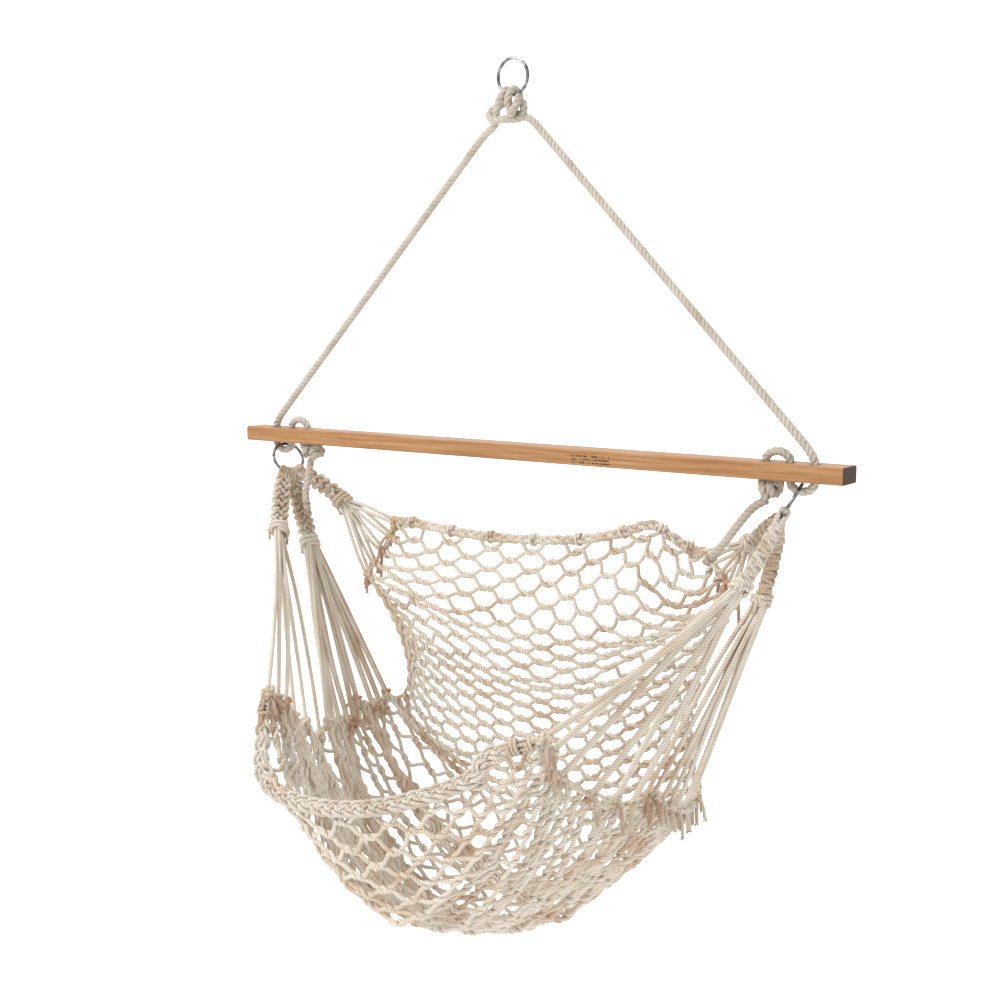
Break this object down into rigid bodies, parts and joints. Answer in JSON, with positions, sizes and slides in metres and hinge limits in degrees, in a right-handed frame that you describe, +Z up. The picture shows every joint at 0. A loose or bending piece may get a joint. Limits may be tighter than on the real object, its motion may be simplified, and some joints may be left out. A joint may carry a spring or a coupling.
{
  "type": "rope hammock",
  "caption": "Hanging rope hammock chair: knotted cord net seat slung by braided clews from a wooden spreader bar on a rope bridle with a steel hanging ring.",
  "frame": {"origin": "inside of the top ring, where the hook bears", "axes": "+X along the spreader bar to its right end, -Y towards the open front of the seat, +Z up"},
  "size_m": [1.155, 0.44, 1.4141],
  "materials": {
    "zinc_steel": "zinc plated",
    "twisted_rope": "three-strand cotton rope",
    "oak": "clear varnish",
    "braided_rope": "plaited cotton cord",
    "whipping_cord": "wrapped cotton cord",
    "net_cord": "twisted cotton cord"
  },
  "bodies": {
    "hang_ring": {"top_ring": "zinc_steel"},
    "yoke": {"crown_knot": "twisted_rope", "suspension_leg_left": "twisted_rope", "suspension_leg_right": "twisted_rope", "bar_lacing_left": "twisted_rope", "bar_lacing_right": "twisted_rope", "spreader_bar": "oak", "stopper_knot_left": "twisted_rope", "stopper_knot_right": "twisted_rope"},
    "seat": {"back_braid_left": "braided_rope", "back_braid_right": "braided_rope", "back_clew_cords_left": "net_cord", "back_clew_cords_right": "net_cord", "back_edge_knots_left": "net_cord", "back_edge_knots_right": "net_cord", "back_selvage": "braided_rope", "back_wrap_left": "whipping_cord", "back_wrap_right": "whipping_cord", "front_braid_left": "braided_rope", "front_braid_right": "braided_rope", "front_clew_cords_left": "net_cord", "front_clew_cords_right": "net_cord", "front_corner_wrap_left": "whipping_cord", "front_corner_wrap_right": "whipping_cord", "front_edge_knots_left": "net_cord", "front_edge_knots_right": "net_cord", "front_selvage": "braided_rope", "front_wrap_left": "whipping_cord", "front_wrap_right": "whipping_cord", "lower_ring_left": "zinc_steel", "lower_ring_right": "zinc_steel", "middle_braid_left": "braided_rope", "middle_braid_right": "braided_rope", "middle_clew_cords_left": "net_cord", "middle_clew_cords_right": "net_cord", "middle_edge_knots_left": "net_cord", "middle_edge_knots_right": "net_cord", "middle_wrap_left": "whipping_cord", "middle_wrap_right": "whipping_cord", "net_back": "net_cord", "net_seat": "net_cord"},
    "tail_left": {"rope_tail_left": "twisted_rope"},
    "tail_right": {"rope_tail_right": "twisted_rope"}
  },
  "joints": [
    {"name": "yoke_swing", "type": "hinge", "parent": "hang_ring", "child": "yoke", "pos_m": [0, 0, -0.0536], "axis": [1, 0, 0], "range_deg": [-45, 45]},
    {"name": "seat_swing", "type": "hinge", "parent": "yoke", "child": "seat", "pos_m": [0, 0, -0.63275], "axis": [1, 0, 0], "range_deg": [-20, 20]},
    {"name": "tail_left_swing", "type": "hinge", "parent": "yoke", "child": "tail_left", "pos_m": [-0.434, -0.008, -0.6546], "axis": [1, 0, 0], "range_deg": [-20, 20]},
    {"name": "tail_right_swing", "type": "hinge", "parent": "yoke", "child": "tail_right", "pos_m": [0.452, -0.003, -0.6593], "axis": [1, 0, 0], "range_deg": [-20, 20]}
  ],
  "couplings": [
    {"joint": "tail_left_swing", "follows": "seat_swing", "ratio": 1},
    {"joint": "tail_right_swing", "follows": "seat_swing", "ratio": 1}
  ]
}
